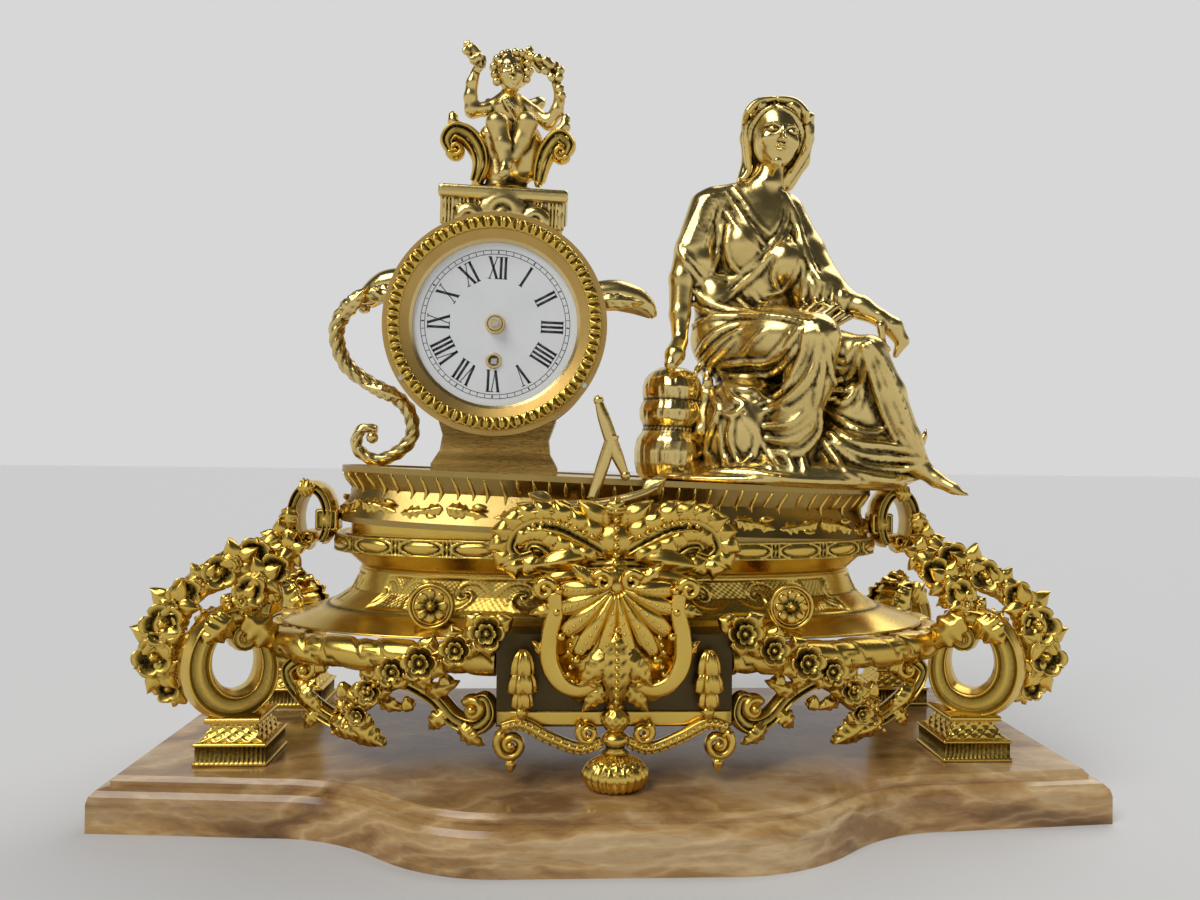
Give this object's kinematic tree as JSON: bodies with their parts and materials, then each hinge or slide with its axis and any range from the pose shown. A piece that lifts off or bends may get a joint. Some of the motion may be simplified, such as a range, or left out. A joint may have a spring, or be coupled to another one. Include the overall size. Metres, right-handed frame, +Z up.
{
  "type": "figural mantel clock",
  "caption": "Gilt figural mantel clock on an onyx plinth: drum clock with putto crest, seated draped woman, openwork base with garlands and scroll feet.",
  "frame": {"origin": "centre of the bounding box at the underside of the plinth", "axes": "+Z up, the dial and the figures face -Y, +X to the right seen from the front"},
  "size_m": [0.474, 0.212, 0.3937],
  "materials": {
    "onyx": "polished",
    "gilt": "gilded casting",
    "figure_gilt": "polished",
    "movement_brass": "brushed",
    "steel": "polished",
    "enamel": "glazed"
  },
  "bodies": {
    "case": {"onyx_plinth": "onyx", "leg_studs": "steel", "leg_nuts": "steel", "ribbon_rail": "gilt", "base_body": "gilt", "basin": "gilt", "deck_plate": "gilt", "leg_front_left": "gilt", "leg_rear_left": "gilt", "leg_front_right": "gilt", "leg_rear_right": "gilt", "front_panel": "gilt", "cartouche": "gilt", "husk_pendants": "gilt", "apron_left": "gilt", "apron_right": "gilt", "bracket_left": "gilt", "bracket_right": "gilt", "garland_left": "gilt", "garland_right": "gilt", "flower_cluster_left": "gilt", "flower_cluster_right": "gilt", "rosettes": "gilt", "centre_crest": "gilt", "anchor": "gilt", "drum_case": "gilt", "pedestal": "gilt", "bezel": "gilt", "sight_ring": "movement_brass", "dial": "enamel", "dial_collars": "movement_brass", "door_hinge_pin": "steel", "console_scroll": "gilt", "drum_crest": "gilt", "putto": "gilt", "woman": "figure_gilt", "bale": "figure_gilt", "deck_bolts": "steel", "front_plate": "movement_brass", "back_plate": "movement_brass", "pillars": "movement_brass", "clock_screws": "steel", "balance_cock": "movement_brass"},
    "door": {"rear_door": "gilt"},
    "winding": {"winding_arbor": "steel", "ratchet_wheel": "steel"},
    "click_pawl": {"click": "steel"},
    "barrel_drum": {"barrel": "movement_brass", "barrel_lid": "movement_brass", "mainspring": "steel"},
    "centre": {"centre_wheel": "movement_brass", "cannon_pinion": "steel"},
    "hour": {"hour_wheel": "movement_brass"},
    "minute": {"minute_wheel": "movement_brass"},
    "third": {"third_wheel": "movement_brass"},
    "fourth": {"fourth_wheel": "movement_brass"},
    "escape": {"escape_wheel": "movement_brass"},
    "lever": {"pallet_lever": "steel"},
    "balance": {"balance_wheel": "movement_brass", "hairspring": "steel"}
  },
  "joints": [
    {"name": "door_swing", "type": "hinge", "parent": "case", "child": "door", "pos_m": [-0.11937, 0.042, 0.24023], "axis": [0.0349, 0, 0.9994], "range_deg": [0, 110]},
    {"name": "winding_turn", "type": "hinge", "parent": "case", "child": "winding", "pos_m": [-0.06055, 0.008, 0.21947], "axis": [0, 1, 0], "continuous": true},
    {"name": "click_lift", "type": "hinge", "parent": "case", "child": "click_pawl", "pos_m": [-0.04896, 0.008, 0.21478], "axis": [0, 1, 0], "range_deg": [0, 12]},
    {"name": "fourth_turn", "type": "hinge", "parent": "case", "child": "fourth", "pos_m": [-0.05605, 0.008, 0.2537], "axis": [0, 1, 0], "continuous": true},
    {"name": "barrel_turn", "type": "hinge", "parent": "case", "child": "barrel_drum", "pos_m": [-0.06055, 0.008, 0.21947], "axis": [0, 1, 0], "continuous": true},
    {"name": "centre_turn", "type": "hinge", "parent": "case", "child": "centre", "pos_m": [-0.0599, 0.008, 0.23815], "axis": [0, 1, 0], "continuous": true},
    {"name": "hour_turn", "type": "hinge", "parent": "case", "child": "hour", "pos_m": [-0.0599, 0.008, 0.23815], "axis": [0, 1, 0], "continuous": true},
    {"name": "minute_turn", "type": "hinge", "parent": "case", "child": "minute", "pos_m": [-0.07008, 0.008, 0.24451], "axis": [0, 1, 0], "continuous": true},
    {"name": "third_turn", "type": "hinge", "parent": "case", "child": "third", "pos_m": [-0.06665, 0.008, 0.24985], "axis": [0, 1, 0], "continuous": true},
    {"name": "escape_turn", "type": "hinge", "parent": "case", "child": "escape", "pos_m": [-0.04531, 0.008, 0.25257], "axis": [0, 1, 0], "continuous": true},
    {"name": "lever_rock", "type": "hinge", "parent": "case", "child": "lever", "pos_m": [-0.03862, 0.008, 0.24655], "axis": [0, 1, 0], "range_deg": [-5, 5]},
    {"name": "balance_swing", "type": "hinge", "parent": "case", "child": "balance", "pos_m": [-0.03441, 0.008, 0.23792], "axis": [0, 1, 0], "range_deg": [-135, 135]}
  ],
  "couplings": [
    {"joint": "third_turn", "follows": "fourth_turn", "ratio": -0.14286},
    {"joint": "centre_turn", "follows": "fourth_turn", "ratio": 0.017857},
    {"joint": "barrel_turn", "follows": "fourth_turn", "ratio": -0.0029762},
    {"joint": "escape_turn", "follows": "fourth_turn", "ratio": -8},
    {"joint": "minute_turn", "follows": "fourth_turn", "ratio": -0.0059524},
    {"joint": "hour_turn", "follows": "fourth_turn", "ratio": 0.0014881}
  ]
}
